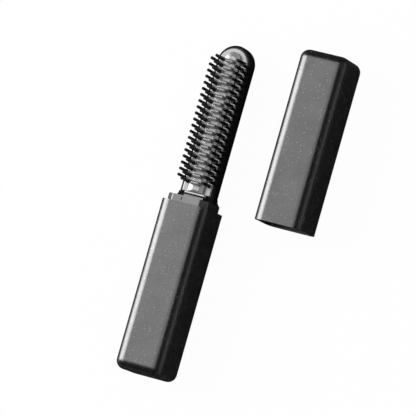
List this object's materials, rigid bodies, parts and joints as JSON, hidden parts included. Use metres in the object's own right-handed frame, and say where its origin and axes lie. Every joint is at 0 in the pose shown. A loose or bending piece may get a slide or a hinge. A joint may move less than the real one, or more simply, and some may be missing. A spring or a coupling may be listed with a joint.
{
  "type": "cordless hot comb",
  "caption": "Square battery handle with a heated comb head, finned ridge and bristle rows, and a square cap pulled off and laid beside it.",
  "frame": {"origin": "middle of the handle's flat back face, on the plane that the comb and its cap lie on", "axes": "+Y along the comb towards its tip, +Z out of the front face, the way the bristles point, +X to the right, towards the cap"},
  "size_m": [0.0875, 0.2013, 0.03],
  "materials": {
    "fleck_paint": "charcoal paint with fine pale flecks, satin gloss",
    "collar_paint": "plain grey-charcoal paint, satin",
    "black_plastic": "moulded black heat-resistant plastic",
    "button_plastic": "fine matt black",
    "boot_rubber": "smooth black silicone",
    "plate_metal": "satin cast aluminium",
    "white_ceramic": "glazed white ceramic",
    "white_plastic": "plain white",
    "cell_wrap": "shrink film",
    "nickel": "plain nickel",
    "board_green": "solder mask",
    "chip_black": "moulded epoxy",
    "coil_grey": "ferrite",
    "screw_steel": "plated",
    "led_white": "clear over phosphor",
    "clear_plastic": "clear, polished",
    "ceramic_tile": "fired ceramic with silvered faces",
    "amber_film": "amber film",
    "spring_steel": "rolled strip",
    "bead_black": "glass bead",
    "red_silicone": "silicone jacket",
    "white_silicone": "silicone jacket"
  },
  "bodies": {
    "comb": {"handle_sleeve": "fleck_paint", "inner_chassis": "black_plastic", "snap_collar": "collar_paint", "battery_cell": "cell_wrap", "battery_ring": "white_plastic", "battery_cap": "nickel", "battery_tabs": "nickel", "main_board": "board_green", "board_chips": "chip_black", "boost_coil": "coil_grey", "board_screws": "screw_steel", "indicator_leds": "led_white", "light_guide": "clear_plastic", "power_switch": "chip_black", "charge_board": "board_green", "usb_shell": "screw_steel", "usb_tongue": "chip_black", "head_shell": "black_plastic", "bristle_frame": "black_plastic", "inner_bristles_left": "black_plastic", "inner_bristles_right": "black_plastic", "heat_plate": "plate_metal", "heater_tiles": "ceramic_tile", "insulation_sheet": "amber_film", "heater_clamp": "spring_steel", "thermistor": "bead_black", "thermal_fuse": "screw_steel", "heater_leads": "red_silicone", "sensor_leads": "white_silicone", "head_screws": "screw_steel", "neck_boot": "boot_rubber", "heat_stop": "white_ceramic"},
    "button": {"power_button": "button_plastic", "switch_plunger": "black_plastic"},
    "cap": {"cap_shell": "fleck_paint"}
  },
  "joints": [
    {"name": "button_press", "type": "slide", "parent": "comb", "child": "button", "axis": [1, 0, 0], "range_m": [0, 0.0005], "stiffness_N_per_m": 3000},
    {"name": "cap_slide", "type": "slide", "parent": "comb", "child": "cap", "axis": [0, 1, 0], "range_m": [0, 0.1]}
  ]
}
